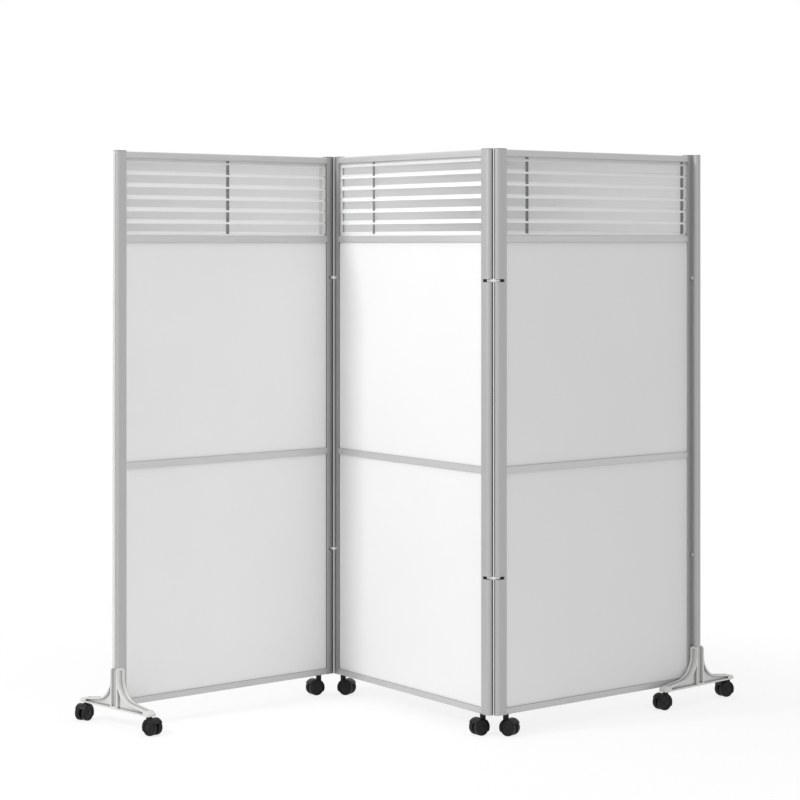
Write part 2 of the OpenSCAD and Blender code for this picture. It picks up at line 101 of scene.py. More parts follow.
# Clear heights of the lower board, the upper board and the window
FIELDS = {
    "lower": (LOWER_LOW.z + HOLD, LOWER_HIGH.z - HOLD),
    "upper": (BOARD_LOW.z + HOLD, BOARD_HIGH.z - HOLD),
    "window": (TAPE_LOW.z, TAPE_HIGH.z),
}


def linear(hex_colour):
    """An sRGB hex colour as linear red, green, blue and alpha."""
    parts = [int(hex_colour[i : i + 2], 16) / 255 for i in (1, 3, 5)]
    return tuple(c / 12.92 if c <= 0.04045 else ((c + 0.055) / 1.055) ** 2.4 for c in parts) + (1.0,)


def joint_place(name):
    """Where a joint turns, in the frame."""
    return Vector(JOINTS[name]["pos_m"])


def flat(vector):
    """The same place on the floor."""
    return Vector((vector.x, vector.y, 0))


def panel_places():
    """Each panel's matrix from its own axes, x along it from its first post's nose, to the frame's."""
    left_pin, right_pin = joint_place("left_panel_hinge"), joint_place("right_panel_hinge")
    # The left panel has no pin at its free end, so one of its castors gives its direction.
    ends = {
        "middle": (joint_place("left_link_hinge"), joint_place("right_link_hinge")),
        "right": (right_pin, joint_place("end_stand_hinge")),
        "left": (joint_place("castor_3_swivel_turn"), left_pin),
    }
    places = {}
    for side, (start, end) in ends.items():
        along = flat(end - start).normalized()
        first = flat(end) - along * (PANEL_W - NOSE_R)
        places[side] = Matrix.Translation(first) @ Matrix.Rotation(math.atan2(along.y, along.x), 4, "Z")
    return places


PANELS = panel_places()
TRAIL = (flat(joint_place("castor_4_roll")) - flat(joint_place("castor_4_swivel_turn"))).length


def castor_place(number):
    """The matrix from a castor's own axes, its axle behind the stem along x, to the frame's."""
    stem = flat(joint_place(f"castor_{number}_swivel_turn"))
    axle = flat(joint_place(f"castor_{number}_roll"))
    behind = axle - stem
    return Matrix.Translation(stem) @ Matrix.Rotation(math.atan2(behind.y, behind.x), 4, "Z")


# Modelling helpers


def start_clean():
    """Leaves edit mode and deselects everything, because an operator acts on all that is selected."""
    if bpy.context.object and bpy.context.object.mode != "OBJECT":
        bpy.ops.object.mode_set(mode="OBJECT")
    bpy.ops.object.select_all(action="DESELECT")


def added(name):
    """Names the piece that was just made, and its mesh."""
    piece = bpy.context.object
    piece.name = name
    piece.data.name = name
    return piece


def block(name, low, high):
    """A box from a low corner to a high corner, with its size and place in its mesh."""
    start_clean()
    low, high = Vector(low), Vector(high)
    bpy.ops.mesh.primitive_cube_add(size=1, location=(low + high) / 2)
    piece = added(name)
    piece.scale = high - low
    bpy.ops.object.transform_apply(location=True, rotation=True, scale=True)
    return piece


def drum(name, radius, depth, centre=(0, 0, 0), across=False, steps=64):
    """A round bar, upright or lying across y, with its size and place in its mesh."""
    start_clean()
    turn = (math.pi / 2, 0, 0) if across else (0, 0, 0)
    bpy.ops.mesh.primitive_cylinder_add(
        vertices=steps, radius=radius, depth=depth, location=centre, rotation=turn
    )
    piece = added(name)
    bpy.ops.object.transform_apply(location=True, rotation=True, scale=True)
    return piece


def edit(piece, kind="FACE"):
    """Opens a piece in edit mode with nothing selected."""
    start_clean()
    bpy.context.view_layer.objects.active = piece
    piece.select_set(True)
    bpy.ops.object.mode_set(mode="EDIT")
    bpy.ops.mesh.select_mode(type=kind)
    bpy.ops.mesh.select_all(action="DESELECT")


def pick(piece, kind, test):
    """Selects only the faces, edges or vertices that a test is true of."""
    bpy.ops.mesh.select_mode(type=kind)
    bpy.ops.mesh.select_all(action="DESELECT")
    mesh = bmesh.from_edit_mesh(piece.data)
    mesh.normal_update()
    parts = {"FACE": mesh.faces, "EDGE": mesh.edges, "VERT": mesh.verts}[kind]
    for part in parts:
        if test(part):
            part.select_set(True)
    mesh.select_flush_mode()
    bmesh.update_edit_mesh(piece.data)


def middle_of(part):
    """The middle of a face or an edge."""
    return sum((v.co for v in part.verts), Vector()) / len(part.verts)


def close(piece, smooth=35):
    """Leaves edit mode, with round stretches shaded smooth and edges kept crisp."""
    start_clean()
    bpy.context.view_layer.objects.active = piece
    piece.select_set(True)
    bpy.ops.object.shade_smooth_by_angle(angle=math.radians(smooth))
    return piece


def use_modifier(piece, kind, **settings):
    """Adds a modifier and applies it."""
    start_clean()
    bpy.context.view_layer.objects.active = piece
    piece.select_set(True)
    modifier = piece.modifiers.new(kind.lower(), kind)
    for name, value in settings.items():
        setattr(modifier, name, value)
    bpy.ops.object.modifier_apply(modifier=modifier.name)


def round_edges(piece, width, segments=2, angle=40):
    """Rounds every edge that turns by more than an angle in degrees."""
    limit = math.radians(angle)
    use_modifier(piece, "BEVEL", width=width, segments=segments, limit_method="ANGLE", angle_limit=limit)


def copied(piece, name):
    """A copy with its own mesh."""
    start_clean()
    bpy.context.view_layer.objects.active = piece
    piece.select_set(True)
    bpy.ops.object.duplicate(linked=False)
    return added(name)


def joined(name, pieces):
    """Several pieces as one, in the first one's place."""
    start_clean()
    for piece in pieces:
        piece.select_set(True)
    bpy.context.view_layer.objects.active = pieces[0]
    if len(pieces) > 1:
        bpy.ops.object.join()
    return added(name)


def set_down(piece, place, body, material, slot, *replaced):
    """Puts a finished piece in the frame, its place in its mesh, on its body and with its finish."""
    piece.data.transform(place)
    piece.data.update()
    piece.data.materials.clear()
    piece.data.materials.append(material)
    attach(piece, body)
    if replaced:
        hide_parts(*replaced)


def cad_copy(node, name):
    """A merged copy of a CAD node, with its flat faces whole again, to be finished as a new piece."""
    start_clean()
    source = frame["nodes"][node]
    source.hide_viewport = False
    source.select_set(True)
    bpy.context.view_layer.objects.active = source
    bpy.ops.object.duplicate(linked=False)
    piece = added(name)
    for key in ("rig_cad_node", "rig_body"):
        if key in piece:
            del piece[key]
    piece.parent = None
    edit(piece, "VERT")
    bpy.ops.mesh.select_all(action="SELECT")
    bpy.ops.mesh.remove_doubles(threshold=0.01 * MM)
    bpy.ops.mesh.dissolve_limited(angle_limit=math.radians(1))
    start_clean()
    return piece


# Materials

# Painted shade in a corner darkens a tone to this share.
CORNER_SHADE = 0.35


def fill(tree, node, sockets):
    """Gives each socket, by its identifier, another node's output or a constant."""
    inputs = {socket.identifier: socket for socket in node.inputs}
    for key, value in sockets.items():
        if isinstance(value, bpy.types.NodeSocket):
            tree.links.new(value, inputs[key])
        else:
            inputs[key].default_value = value


def add_node(tree, kind, sockets=None, **settings):
    """Adds a node with its settings and fills its sockets."""
    node = tree.nodes.new(kind)
    for name, value in settings.items():
        setattr(node, name, value)
    fill(tree, node, sockets or {})
    return node


def new_material(name):
    """A material with an empty tree, its output and its principled shader."""
    material = bpy.data.materials.new(name)
    material.use_nodes = True
    tree = material.node_tree
    tree.nodes.clear()
    shader = add_node(tree, "ShaderNodeBsdfPrincipled")
    add_node(tree, "ShaderNodeOutputMaterial", {"Surface": shader.outputs["BSDF"]})
    return material, tree, shader


def object_coordinates(tree, scale=(1, 1, 1), turn=0.0):
    """The piece's own coordinates, turned about the upright and stretched."""
    place = add_node(tree, "ShaderNodeTexCoord").outputs["Object"]
    turned = add_node(
        tree, "ShaderNodeMapping", {"Vector": place, "Rotation": (0, 0, -turn)}, vector_type="POINT"
    ).outputs["Vector"]
    return add_node(
        tree, "ShaderNodeMapping", {"Vector": turned, "Scale": scale}, vector_type="POINT"
    ).outputs["Vector"]


def tone_pair(tree, factor, dark, light):
    """A colour between two tones, by a factor from 0 to 1."""
    tones = {"Factor_Float": factor, "A_Color": dark, "B_Color": light}
    mix = add_node(tree, "ShaderNodeMix", tones, data_type="RGBA")
    return next(s for s in mix.outputs if s.identifier == "Result_Color")


def shade(hex_colour, change):
    """The same colour lighter or darker, as linear colour."""
    return tuple(min(1.0, c * change) for c in linear(hex_colour)[:3]) + (1.0,)


def corner_shaded(tree, unshaded, hex_colour, reach, own):
    """Painted shade: a tone that turns darker within reach of an inner corner, of the piece's own or of any
    piece.
    """
    open_share = add_node(
        tree, "ShaderNodeAmbientOcclusion", {"Distance": reach}, only_local=own, samples=8
    ).outputs["AO"]
    # A groove's bottom sees about half of its surroundings, and an open face nearly all, so the painted shade
    # is deepest in grooves.
    open_factor = add_node(
        tree, "ShaderNodeMapRange", {"Value": open_share, "From Min": 0.55, "From Max": 0.95}
    ).outputs["Result"]
    return tone_pair(tree, open_factor, shade(hex_colour, CORNER_SHADE), unshaded)


def anodised(name, hex_colour, reach=None, turn=None):
    """Drawn and anodised aluminium: fine die lines run along each bar, and break its sheen into streaks."""
    material, tree, shader = new_material(name)
    # Die lines 0.3 mm apart are too fine to show, so they are drawn 1.5 mm apart and 400 mm long. They run
    # upright on a post, and on a rail along its direction, which is the turn.
    across, along = 1 / (1.5 * MM), 1 / (400 * MM)
    scale = (across, across, along) if turn is None else (along, across, across)
    place = object_coordinates(tree, scale, turn or 0.0)
    lines = add_node(
        tree, "ShaderNodeTexNoise", {"Vector": place, "Scale": 1.0, "Detail": 3.0, "Roughness": 0.6}
    ).outputs["Fac"]
    # The bath leaves the sheen a little uneven, in patches 111 mm across.
    patches = add_node(
        tree,
        "ShaderNodeTexNoise",
        {"Vector": object_coordinates(tree), "Scale": 1 / (111 * MM), "Detail": 2.0},
    ).outputs["Fac"]
    sheen = add_node(tree, "ShaderNodeMapRange", {"Value": patches, "To Min": 0.3, "To Max": 0.44})
    bump = add_node(tree, "ShaderNodeBump", {"Height": lines, "Strength": 0.08, "Distance": 0.1 * MM})
    grey = tone_pair(tree, lines, shade(hex_colour, 0.9), shade(hex_colour, 1.08))
    if reach:
        # A rail's rounded edge, 4.5 mm above the board, and the noses at a fold are darkened with painted
        # shade.
        grey = corner_shaded(tree, grey, hex_colour, reach, False)
    fill(tree, shader, {
        "Base Color": grey,
        "Roughness": sheen.outputs["Result"],
        "Normal": bump.outputs["Normal"],
        "Metallic": 0.35,
    })
    return material


def laminate(name, hex_colour):
    """Matt pressed melamine board: a fine orange-peel grain in its sheen, and a very faintly cloudy white."""
    material, tree, shader = new_material(name)
    # The pressed grain is about 0.5 mm, drawn at 3 mm so that it shows.
    grain = add_node(
        tree,
        "ShaderNodeTexNoise",
        {"Vector": object_coordinates(tree), "Scale": 1 / (3 * MM), "Detail": 4.0, "Roughness": 0.55},
    ).outputs["Fac"]
    # The paper's white clouds over 333 mm.
    cloud = add_node(
        tree,
        "ShaderNodeTexNoise",
        {"Vector": object_coordinates(tree), "Scale": 1 / (333 * MM), "Detail": 2.0},
    ).outputs["Fac"]
    sheen = add_node(tree, "ShaderNodeMapRange", {"Value": grain, "To Min": 0.42, "To Max": 0.56})
    bump = add_node(tree, "ShaderNodeBump", {"Height": grain, "Strength": 0.06, "Distance": 0.2 * MM})
    fill(tree, shader, {
        "Base Color": tone_pair(tree, cloud, shade(hex_colour, 0.975), shade(hex_colour, 1.02)),
        "Roughness": sheen.outputs["Result"],
        "Normal": bump.outputs["Normal"],
        "IOR": 1.5,
    })
    return material


def clear_glass(name, hex_colour):
    """Thin float glass: nearly all light goes straight through, with a mirror sheen and faint wipe marks."""
    material, tree, shader = new_material(name)
    # The wipe marks are 38.5 mm wide and two and a half times as tall.
    marks = add_node(
        tree,
        "ShaderNodeTexNoise",
        {"Vector": object_coordinates(tree, (1, 1, 0.4)), "Scale": 1 / (38.5 * MM), "Detail": 3.0},
    ).outputs["Fac"]
    sheen = add_node(tree, "ShaderNodeMapRange", {"Value": marks, "To Min": 0.02, "To Max": 0.07})
    fill(tree, shader, {
        "Base Color": tone_pair(tree, marks, shade(hex_colour, 0.955), shade(hex_colour, 1.045)),
        "Roughness": sheen.outputs["Result"],
        "Alpha": 0.1,
        "IOR": 1.5,
    })
    return material


def frosted_glass(name, hex_colour):
    """Acid-etched glass: milky, so what is behind it shows blurred."""
    material, tree, shader = new_material(name)
    # The etch is far finer than a millimetre, drawn at 2 mm.
    etch = add_node(
        tree,
        "ShaderNodeTexNoise",
        {"Vector": object_coordinates(tree), "Scale": 1 / (2 * MM), "Detail": 2.0},
    ).outputs["Fac"]
    sheen = add_node(tree, "ShaderNodeMapRange", {"Value": etch, "To Min": 0.5, "To Max": 0.62})
    fill(tree, shader, {
        "Base Color": tone_pair(tree, etch, shade(hex_colour, 0.97), shade(hex_colour, 1.02)),
        "Roughness": sheen.outputs["Result"],
        "Transmission Weight": 0.9,
        "IOR": 1.5,
    })
    return material


def enamel(name, hex_colour):
    """Aluminium strip with a rolled coat of white enamel: smooth, and faintly uneven where it was rolled."""
    material, tree, shader = new_material(name)
    # The roller leaves marks 16.7 mm across.
    marks = add_node(
        tree,
        "ShaderNodeTexNoise",
        {"Vector": object_coordinates(tree), "Scale": 1 / (16.7 * MM), "Detail": 2.0},
    ).outputs["Fac"]
    sheen = add_node(tree, "ShaderNodeMapRange", {"Value": marks, "To Min": 0.3, "To Max": 0.4})
    fill(tree, shader, {
        "Base Color": tone_pair(tree, marks, shade(hex_colour, 0.97), shade(hex_colour, 1.02)),
        "Roughness": sheen.outputs["Result"],
    })
    return material


def woven(name, hex_colour, pale_colour=None, turn=0.0, pale_from=0.0):
    """Woven polyester tape: matt, with weft ribs across it, and pale past a place along a panel if asked."""
    material, tree, shader = new_material(name)
    ribs = add_node(
        tree,
        "ShaderNodeTexWave",
        # The ribs are 1 mm apart: the wave repeats every 2 pi / 20 units of its scale.
        {"Vector": object_coordinates(tree), "Scale": math.tau / 20 / MM, "Distortion": 0.3},
        bands_direction="Z",
    ).outputs["Fac"]
    colour = tone_pair(tree, ribs, shade(hex_colour, 0.7), shade(hex_colour, 1.3))
    if pale_colour:
        along = add_node(
            tree, "ShaderNodeSeparateXYZ", {"Vector": object_coordinates(tree, turn=turn)}
        ).outputs["X"]
        past = add_node(
            tree, "ShaderNodeMath", {"Value": along, "Value_001": pale_from}, operation="GREATER_THAN"
        ).outputs["Value"]
        pale = tone_pair(tree, ribs, shade(pale_colour, 0.9), shade(pale_colour, 1.1))
        colour = tone_pair(tree, past, colour, pale)
    bump = add_node(tree, "ShaderNodeBump", {"Height": ribs, "Strength": 0.5, "Distance": 0.2 * MM})
    fill(tree, shader, {"Base Color": colour, "Normal": bump.outputs["Normal"], "Roughness": 0.9})
    return material


def moulded(name, hex_colour, rough=0.45, grit=1.2, shine=0.5):
    """Injection-moulded plastic: a fine spark-eroded grain, with patches scuffed lighter and duller."""
    material, tree, shader = new_material(name)
    # The spark grain is about 0.1 mm, drawn at the grit size given here, in millimetres.
    grain = add_node(
        tree,
        "ShaderNodeTexNoise",
        {"Vector": object_coordinates(tree), "Scale": 1 / (grit * MM), "Detail": 3.0},
    ).outputs["Fac"]
    # The scuffed patches are 35.7 mm across.
    scuffed = add_node(
        tree,
        "ShaderNodeTexNoise",
        {"Vector": object_coordinates(tree), "Scale": 1 / (35.7 * MM), "Detail": 2.0},
    ).outputs["Fac"]
    sheen = add_node(
        tree, "ShaderNodeMapRange", {"Value": scuffed, "To Min": rough - 0.08, "To Max": rough + 0.1}
    )
    bump = add_node(tree, "ShaderNodeBump", {"Height": grain, "Strength": 0.18, "Distance": 0.15 * MM})
    fill(tree, shader, {
        "Base Color": tone_pair(tree, scuffed, shade(hex_colour, 0.85), shade(hex_colour, 1.2)),
        "Roughness": sheen.outputs["Result"],
        "Normal": bump.outputs["Normal"],
        "Specular IOR Level": shine,
    })
    return material


def cast_metal(name, hex_colour, rough=0.42):
    """Die-cast aluminium under satin silver lacquer: soft die grain, a low even sheen, and painted shade in
    its grooves.
    """
    material, tree, shader = new_material(name)
    # The die's grain is about 0.4 mm, drawn at 1.5 mm.
    grain = add_node(
        tree,
        "ShaderNodeTexNoise",
        {"Vector": object_coordinates(tree), "Scale": 1 / (1.5 * MM), "Detail": 4.0, "Roughness": 0.6},
    ).outputs["Fac"]
    # The lacquer clouds over 55.6 mm.
    cloud = add_node(
        tree,
        "ShaderNodeTexNoise",
        {"Vector": object_coordinates(tree), "Scale": 1 / (55.6 * MM), "Detail": 2.0},
    ).outputs["Fac"]
    unshaded = tone_pair(tree, cloud, shade(hex_colour, 0.94), shade(hex_colour, 1.04))
    sheen = add_node(
        tree, "ShaderNodeMapRange", {"Value": grain, "To Min": rough - 0.07, "To Max": rough + 0.07}
    )
    bump = add_node(tree, "ShaderNodeBump", {"Height": grain, "Strength": 0.12, "Distance": 0.2 * MM})
    fill(tree, shader, {
        # Painted shade darkens the tone within 8 mm of an inner corner, so grooves and pockets look darker.
        "Base Color": corner_shaded(tree, unshaded, hex_colour, 8 * MM, True),
        "Roughness": sheen.outputs["Result"],
        "Normal": bump.outputs["Normal"],
        "Metallic": 0.25,
    })
    return material


def turned_steel(name, hex_colour):
    """Zinc-plated turned steel: bright, with fine rings round the bar."""
    material, tree, shader = new_material(name)
    # The tool's marks are 0.4 mm apart, and run 3.3 mm round the bar.
    rings = add_node(
        tree,
        "ShaderNodeTexNoise",
        {"Vector": object_coordinates(tree, (1, 1, 8)), "Scale": 1 / (3.3 * MM), "Detail": 2.0},
    ).outputs["Fac"]
    sheen = add_node(tree, "ShaderNodeMapRange", {"Value": rings, "To Min": 0.22, "To Max": 0.38})
    fill(tree, shader, {
        "Base Color": tone_pair(tree, rings, shade(hex_colour, 0.88), shade(hex_colour, 1.1)),
        "Roughness": sheen.outputs["Result"],
        "Metallic": 1.0,
    })
    return material


# Values a user would change


class ScreenSizes(bpy.types.PropertyGroup):
    """Sizes of the pieces that are added to the frame."""

    bead_width: bpy.props.FloatProperty(
        name="Bead width", description="Width of the glazing bead that shows", default=1.2 * MM,
        min=0.5 * MM, max=4 * MM, unit="LENGTH",
    )
    bead_height: bpy.props.FloatProperty(
        name="Bead height", description="How far the glazing bead stands proud of the board",
        default=0.8 * MM, min=0.3 * MM, max=3 * MM, unit="LENGTH",
    )
    pane_thickness: bpy.props.FloatProperty(
        name="Pane thickness", description="Thickness of each window pane", default=2 * MM,
        min=1.5 * MM, max=3 * MM, unit="LENGTH",
    )
    wheel_width: bpy.props.FloatProperty(
        name="Wheel width", description="Width of each castor wheel", default=17 * MM,
        min=14 * MM, max=20 * MM, unit="LENGTH",
    )
    web_thickness: bpy.props.FloatProperty(
        name="Web thickness", description="Thickness of a castor's web between its wheels", default=6 * MM,
        min=4 * MM, max=10 * MM, unit="LENGTH",
    )
    wheel_shoulder: bpy.props.FloatProperty(
        name="Wheel shoulder", description="Radius of a wheel's rounded edges", default=4 * MM, min=1 * MM,
        max=6 * MM, unit="LENGTH",
    )
    cheek_corner: bpy.props.FloatProperty(
        name="Cheek corner", description="Radius of the top corners of a foot's cheeks", default=9 * MM,
        min=2 * MM, max=12 * MM, unit="LENGTH",
    )
    slat_count: bpy.props.IntProperty(
        name="Slats", description="Number of louvre slats in a window", default=7, min=5, max=9
    )


class ScreenColours(bpy.types.PropertyGroup):
    """Finishes of the screen, as sRGB hex."""

    post: bpy.props.StringProperty(name="Posts", description="Anodised posts", default="#b6b6b6")
    rail: bpy.props.StringProperty(name="Rails", description="Anodised rails", default="#c6c6c6")
    cross_rail: bpy.props.StringProperty(
        name="Cross rails", description="Anodised cross rails", default="#cccccc"
    )
    board: bpy.props.StringProperty(name="Boards", description="Laminate boards", default="#ececec")
    slat: bpy.props.StringProperty(name="Slats", description="Enamelled slats", default="#fafaf8")
    tape: bpy.props.StringProperty(name="Tapes", description="Woven ladder tapes", default="#4a4c50")
    pale_tape: bpy.props.StringProperty(
        name="Pale tape", description="The left window's second ladder tape", default="#d9d9d7"
    )
    glass: bpy.props.StringProperty(name="Clear pane", description="Front pane", default="#eef2f2")
    frost: bpy.props.StringProperty(name="Frosted pane", description="Etched back pane", default="#dddddc")
    bead: bpy.props.StringProperty(name="Beads", description="Vinyl glazing beads", default="#dadada")
    pivot: bpy.props.StringProperty(name="Pivots", description="Nylon slat pivots", default="#55575a")
    strip: bpy.props.StringProperty(
        name="Closing strip", description="Enamelled strip on the free edge", default="#f8f8f6"
    )
    cap: bpy.props.StringProperty(name="Caps", description="Moulded post caps", default="#96989a")
    pin: bpy.props.StringProperty(name="Pins", description="Plated hinge pins", default="#c4c6c8")
    strap: bpy.props.StringProperty(name="Straps", description="Lacquered link straps", default="#e4e4e3")
    foot: bpy.props.StringProperty(name="Feet", description="Lacquered feet", default="#dadad8")
    castor: bpy.props.StringProperty(name="Castors", description="Castor mouldings", default="#09090a")
    tread: bpy.props.StringProperty(name="Wheels", description="Castor wheels", default="#0c0c0d")


def sizes():
    """The sizes that the user has set."""
    return bpy.context.scene.screen_sizes


def colours():
    """The colours that the user has set."""
    return bpy.context.scene.screen_colours


# Pieces

# The window's side carrier, and a slat's half height as it leans in its pivots
CARRIER_W = 6 * MM
SLAT_HALF = 7.4 * MM
# A pivot's button, and how far its middle lies behind the front pane's face
PIVOT_R = 2 * MM
PIVOT_H = 0.5 * MM
PIVOT_DEPTH = 2.4 * MM
# The castors' mouldings, to the sizes of the frame's plain ones
HOOD_CLEAR = 1 * MM
HOOD_WALL = 2 * MM
HOOD_INSET = 1 * MM
HOOD_LEAN = math.radians(30)
MOULDED_EDGE = 0.6 * MM
BOSS_R = 8 * MM
NECK_R = 9 * MM
NECK_CLEAR = 0.2 * MM
# The bevel swells a wheel's tread by this much.
BEVEL_SWELL = 0.11 * MM
WHEEL_CLEAR = 0.5 * MM
# The relief of a wheel's outer face: its rim, sloped walls, dish, hub and hub cap
RIM = 2 * MM
SLOPE = 0.8 * MM
DISH = 2 * MM
HUB_R = 9 * MM
HUB_RISE = 1.6 * MM
CAP_EDGE = 1 * MM
CAP_RISE = 0.5 * MM
# Each foot's two castors, and how thick the foot is over their necks
FEET = {"left_foot": (1, 2), "right_foot": (7, 8)}
FOOT_BASE = 8 * MM
# How far from an inner corner painted shade darkens the posts at a fold, the rails and the cross rails
FOLD_SHADE_REACH = 24 * MM
RAIL_SHADE_REACH = 9 * MM
CROSS_SHADE_REACH = 12 * MM
# The left window's second tape lies past this share of the panel's width.
SECOND_TAPE = 0.75


def bead_ring(name, low, high, face_y, outward, width, height):
    """A glazing bead round a field on one face of a panel: a plane inset to a ring, raised and rounded."""
    start_clean()
    middle = ((low[0] + high[0]) / 2, face_y, (low[1] + high[1]) / 2)
    bpy.ops.mesh.primitive_plane_add(size=1, location=middle)
    ring = added(name)
    ring.rotation_euler = (math.pi / 2, 0, 0)
    ring.scale = (high[0] - low[0], high[1] - low[1], 1)
    bpy.ops.object.transform_apply(location=True, rotation=True, scale=True)
    edit(ring)
    bpy.ops.mesh.select_all(action="SELECT")
    bpy.ops.mesh.inset(thickness=width, use_even_offset=True)
    bpy.ops.mesh.delete(type="FACE")
    bpy.ops.mesh.select_all(action="SELECT")
    bpy.ops.mesh.extrude_region_move(TRANSFORM_OT_translate={"value": (0, outward * height, 0)})
    bpy.ops.mesh.select_all(action="SELECT")
    bpy.ops.mesh.normals_make_consistent(inside=False)
    start_clean()
    round_edges(ring, 0.35 * width, segments=3)
    return ring


class PARTITION_OT_beads(bpy.types.Operator):
    """Fit vinyl glazing beads round the boards and windows, on both faces of each panel"""

    bl_idname = "partition.beads"
    bl_label = "Glazing beads"

    def execute(self, context):
        given = sizes()
        vinyl = moulded("white vinyl glazing bead", colours().bead, rough=0.5, grit=1.5)
        for side in SIDES:
            rings = []
            for field, (low_z, high_z) in FIELDS.items():
                for outward in (-1, 1):
                    rings.append(
                        bead_ring(
                            f"{side}_{field}_bead", (POST_W, low_z), (PANEL_W - POST_W, high_z),
                            outward * INFILL_T / 2, outward, given.bead_width, given.bead_height,
                        )
                    )
            beads = joined(f"{side}_glazing_beads", rings)
            close(beads)
            set_down(beads, PANELS[side], f"{side}_panel", vinyl, "cap")
        return {"FINISHED"}


class PARTITION_OT_panes(bpy.types.Operator):
    """Glaze each window with a clear front pane and a frosted back pane"""

    bl_idname = "partition.panes"
    bl_label = "Window panes"

    def execute(self, context):
        thick = sizes().pane_thickness
        clear = clear_glass("clear float glass", colours().glass)
        frosted = frosted_glass("acid-etched glass", colours().frost)
        low_z, high_z = PANE_LOW.z, PANE_HIGH.z
        for side in SIDES:
            # Each panel's front faces its own -y.
            made = {}
            for kind, face in (("clear", -1), ("frosted", 1)):
                edges = sorted((face * INFILL_T / 2, face * (INFILL_T / 2 - thick)))
                pane = block(
                    f"{side}_{kind}_pane",
                    (POST_W - HOLD, edges[0], low_z),
                    (PANEL_W - POST_W + HOLD, edges[1], high_z),
                )
                round_edges(pane, width=0.4 * MM)
                made[kind] = close(pane)
            set_down(made["clear"], PANELS[side], f"{side}_panel", clear, "pane", f"{side}_window_panes")
            set_down(made["frosted"], PANELS[side], f"{side}_panel", frosted, "pane")
        return {"FINISHED"}


def tread_wheel(name, radius, width, shoulder):
    """One castor wheel, lying across y: rounded tread, dished face and a raised hub, from a drum."""
    wheel = drum(name, radius - BEVEL_SWELL, width, across=True)
    edit(wheel)
    end = width / 2 - NEAR
    pick(wheel, "EDGE", lambda e: all(abs(v.co.y) > end for v in e.verts))
    bpy.ops.mesh.bevel(offset=shoulder, segments=5, profile=0.5)
    pick(wheel, "FACE", lambda f: f.normal.y > FACING and middle_of(f).xz.length < NEAR)
    bpy.ops.mesh.inset(thickness=RIM)
    bpy.ops.mesh.inset(thickness=SLOPE, depth=-DISH)
    bpy.ops.mesh.inset(thickness=radius - shoulder - RIM - SLOPE - HUB_R)
    bpy.ops.mesh.inset(thickness=SLOPE, depth=HUB_RISE)
    bpy.ops.mesh.inset(thickness=CAP_EDGE, depth=CAP_RISE)
    return close(wheel, smooth=40)


def castor_hood(name, axle_r, neck_top, given):
    """A castor's moulding: an arched hood over the wheels, a web and boss between them, and a neck."""
    radius = axle_r + HOOD_CLEAR + HOOD_WALL
    half_web = given.web_thickness / 2
    outside = 2 * (half_web + given.wheel_width - HOOD_INSET)
    centre = (TRAIL, 0, axle_r)
    upward = (-math.sin(HOOD_LEAN), 0, math.cos(HOOD_LEAN))
    clip = {"plane_co": centre, "plane_no": upward, "clear_inner": True}

    hood = drum(name, radius, outside, centre, across=True, steps=96)
    edit(hood)
    bpy.ops.mesh.select_all(action="SELECT")
    bpy.ops.mesh.bisect(use_fill=False, **clip)
    pick(hood, "FACE", lambda f: abs(f.normal.y) > FACING)
    bpy.ops.mesh.delete(type="FACE")
    start_clean()
    use_modifier(hood, "SOLIDIFY", thickness=HOOD_WALL, offset=-1)
    round_edges(hood, MOULDED_EDGE)

    web = drum("web", radius - HOOD_WALL / 2, 2 * half_web, centre, across=True, steps=96)
    edit(web)
    bpy.ops.mesh.select_all(action="SELECT")
    bpy.ops.mesh.bisect(use_fill=True, **clip)
    start_clean()
    round_edges(web, MOULDED_EDGE)
    boss = drum("boss", BOSS_R, 2 * half_web, centre, across=True)
    round_edges(boss, width=0.5 * MM)

    neck_h = neck_top - axle_r
    neck = drum("neck", NECK_R, neck_h, (0, 0, axle_r + neck_h / 2))
    edit(neck)
    pick(neck, "EDGE", lambda e: all(v.co.z > neck_top - NEAR for v in e.verts))
    bpy.ops.mesh.bevel(offset=0.8 * MM, segments=3)
    start_clean()
    return close(joined(name, [hood, web, boss, neck]))


class PARTITION_OT_castors(bpy.types.Operator):
    """Build the twin-wheel castors over the frame's plain ones"""

    bl_idname = "partition.castors"
    bl_label = "Castors"

    def execute(self, context):
        given = sizes()
        axle_r = joint_place("castor_4_roll").z
        nylon = moulded("black nylon moulding", colours().castor, shine=0.3)
        tread = moulded("black polyurethane tread", colours().tread, rough=0.5, grit=2.0, shine=0.3)
        wheel = tread_wheel("wheel", axle_r, given.wheel_width, given.wheel_shoulder)
        out = given.web_thickness / 2 + WHEEL_CLEAR + given.wheel_width / 2
        in_feet = [number for pair in FEET.values() for number in pair]
        for number in CASTORS:
            place = castor_place(number)
            name = f"castor_{number}"
            neck_top = UNDER - NECK_CLEAR - (FOOT_BASE if number in in_feet else 0)
            hood = castor_hood(f"{name}_hood", axle_r, neck_top, given)
            set_down(hood, place, f"{name}_swivel", nylon, "castor_body", f"{name}_housing")
            halves = []
            for side, turn in ((1, 0), (-1, math.pi)):
                half = copied(wheel, "half")
                away = Matrix.Translation((TRAIL, side * out, axle_r))
                half.data.transform(away @ Matrix.Rotation(turn, 4, "Z"))
                halves.append(half)
            pair = close(joined(f"{name}_wheel_pair", halves), smooth=40)
            set_down(pair, place, f"{name}_wheels", tread, "castor_tread", f"{name}_wheels")
        bpy.data.objects.remove(wheel)
        return {"FINISHED"}


